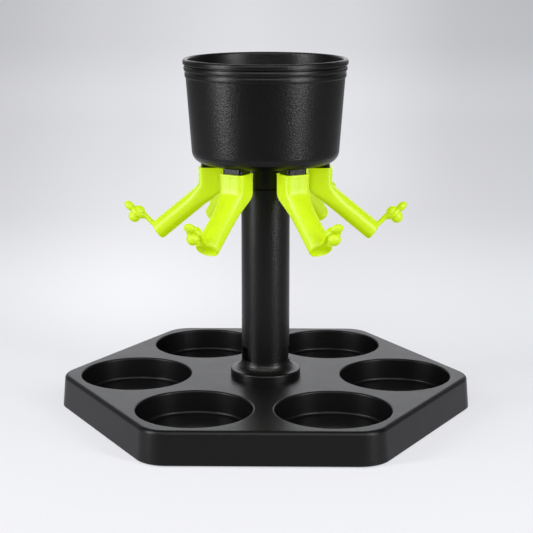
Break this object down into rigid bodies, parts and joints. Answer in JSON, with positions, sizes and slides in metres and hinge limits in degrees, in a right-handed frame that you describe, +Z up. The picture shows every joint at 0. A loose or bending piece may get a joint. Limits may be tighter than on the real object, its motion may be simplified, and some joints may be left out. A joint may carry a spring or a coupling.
{
  "type": "party shot dispenser",
  "caption": "Hexagonal tray with round cup recesses, a bayonet-locked column and a hopper that pours one drink through soft spouts with stoppers hinged on their rims.",
  "frame": {"origin": "on the table under the column's axis", "axes": "+Z up along the column's axis; +X through a rounded corner of the tray and the middle of the first recess, +Y through the middle of a side"},
  "size_m": [0.23, 0.204, 0.1962],
  "materials": {
    "black_plastic": "satin moulded plastic",
    "cover_plastic": "matt moulded plastic",
    "lime_silicone": "satin moulded silicone",
    "foot_rubber": "matt rubber",
    "screw_steel": "zinc plated steel"
  },
  "bodies": {
    "tray": {"tray": "black_plastic", "base_cover": "cover_plastic", "cover_screws": "screw_steel", "bayonet_hub": "black_plastic", "hub_screws": "screw_steel", "foot_1": "foot_rubber", "foot_2": "foot_rubber", "foot_3": "foot_rubber", "foot_4": "foot_rubber", "foot_5": "foot_rubber", "foot_6": "foot_rubber"},
    "column": {"column": "black_plastic"},
    "hopper": {"hopper": "black_plastic"},
    "spout_1": {"spout_1": "lime_silicone"},
    "stopper_1": {"stopper_1": "lime_silicone"},
    "spout_2": {"spout_2": "lime_silicone"},
    "stopper_2": {"stopper_2": "lime_silicone"},
    "spout_3": {"spout_3": "lime_silicone"},
    "stopper_3": {"stopper_3": "lime_silicone"},
    "spout_4": {"spout_4": "lime_silicone"},
    "stopper_4": {"stopper_4": "lime_silicone"},
    "spout_5": {"spout_5": "lime_silicone"},
    "stopper_5": {"stopper_5": "lime_silicone"},
    "spout_6": {"spout_6": "lime_silicone"},
    "stopper_6": {"stopper_6": "lime_silicone"}
  },
  "joints": [
    {"name": "column_twist", "type": "hinge", "parent": "tray", "child": "column", "pos_m": [0, 0, 0.0185], "axis": [0, 0, 1], "range_deg": [0, 18]},
    {"name": "hopper_lift", "type": "slide", "parent": "column", "child": "hopper", "axis": [0, 0, 1], "range_m": [0, 0.02]},
    {"name": "spout_pull_1", "type": "slide", "parent": "hopper", "child": "spout_1", "axis": [0, 0, -1], "range_m": [0, 0.012]},
    {"name": "stopper_fold_1", "type": "hinge", "parent": "spout_1", "child": "stopper_1", "pos_m": [0.06556, 0, 0.10562], "axis": [0, 1, 0], "range_deg": [0, 175]},
    {"name": "spout_pull_2", "type": "slide", "parent": "hopper", "child": "spout_2", "axis": [0, 0, -1], "range_m": [0, 0.012]},
    {"name": "stopper_fold_2", "type": "hinge", "parent": "spout_2", "child": "stopper_2", "pos_m": [0.03278, 0.05677, 0.10562], "axis": [-0.866, 0.5, 0], "range_deg": [0, 175]},
    {"name": "spout_pull_3", "type": "slide", "parent": "hopper", "child": "spout_3", "axis": [0, 0, -1], "range_m": [0, 0.012]},
    {"name": "stopper_fold_3", "type": "hinge", "parent": "spout_3", "child": "stopper_3", "pos_m": [-0.03278, 0.05677, 0.10562], "axis": [-0.866, -0.5, 0], "range_deg": [0, 175]},
    {"name": "spout_pull_4", "type": "slide", "parent": "hopper", "child": "spout_4", "axis": [0, 0, -1], "range_m": [0, 0.012]},
    {"name": "stopper_fold_4", "type": "hinge", "parent": "spout_4", "child": "stopper_4", "pos_m": [-0.06556, 0, 0.10562], "axis": [0, -1, 0], "range_deg": [0, 175]},
    {"name": "spout_pull_5", "type": "slide", "parent": "hopper", "child": "spout_5", "axis": [0, 0, -1], "range_m": [0, 0.012]},
    {"name": "stopper_fold_5", "type": "hinge", "parent": "spout_5", "child": "stopper_5", "pos_m": [-0.03278, -0.05677, 0.10562], "axis": [0.866, -0.5, 0], "range_deg": [0, 175]},
    {"name": "spout_pull_6", "type": "slide", "parent": "hopper", "child": "spout_6", "axis": [0, 0, -1], "range_m": [0, 0.012]},
    {"name": "stopper_fold_6", "type": "hinge", "parent": "spout_6", "child": "stopper_6", "pos_m": [0.03278, -0.05677, 0.10562], "axis": [0.866, 0.5, 0], "range_deg": [0, 175]}
  ]
}
